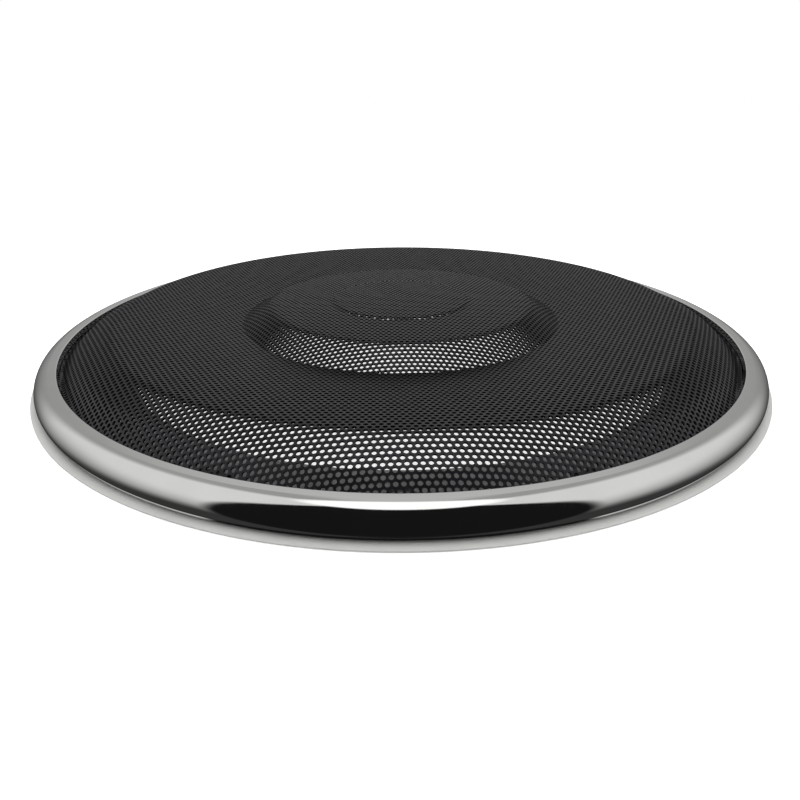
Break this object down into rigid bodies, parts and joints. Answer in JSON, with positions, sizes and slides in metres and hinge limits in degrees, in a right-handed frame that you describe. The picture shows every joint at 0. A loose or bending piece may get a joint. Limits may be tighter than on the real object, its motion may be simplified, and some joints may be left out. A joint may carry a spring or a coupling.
{
  "type": "speaker grille",
  "caption": "Round car loudspeaker grille: a domed black perforated steel sheet in a chrome-plated trim ring, which lifts off a black mounting ring that screws down round the speaker.",
  "frame": {"origin": "centre of the mounting face, which lies on the panel round the speaker", "axes": "+Z out of the panel towards the listener, along the axis of the ring; the grille is round, so +X and +Y are any two directions in the panel"},
  "size_m": [0.28, 0.28, 0.0187],
  "materials": {
    "chrome_plating": "mirror-bright chrome plating on moulded ABS",
    "black_powder_coat": "satin black powder coat on perforated steel",
    "black_abs": "fine moulded grain",
    "foam": "closed-cell foam",
    "felt": "pressed felt",
    "spring_steel": "blued spring strip",
    "screw_steel": "black zinc",
    "bumper_rubber": "soft black rubber"
  },
  "bodies": {
    "mount": {"mounting_ring": "black_abs", "gasket": "foam", "spring_clip_1": "spring_steel", "spring_clip_2": "spring_steel", "spring_clip_3": "spring_steel", "spring_clip_4": "spring_steel", "spring_clip_5": "spring_steel", "spring_clip_6": "spring_steel", "spring_clip_7": "spring_steel", "spring_clip_8": "spring_steel", "bumper_1": "bumper_rubber", "bumper_2": "bumper_rubber", "bumper_3": "bumper_rubber", "bumper_4": "bumper_rubber", "bumper_5": "bumper_rubber", "bumper_6": "bumper_rubber"},
    "cover": {"trim_ring": "chrome_plating", "grille_mesh": "black_powder_coat", "rim_felt": "felt", "clamp_ring": "black_abs", "clamp_screws": "screw_steel"}
  },
  "joints": [
    {"name": "cover_lift", "type": "slide", "parent": "mount", "child": "cover", "axis": [0, 0, 1], "range_m": [0, 0.04]}
  ]
}
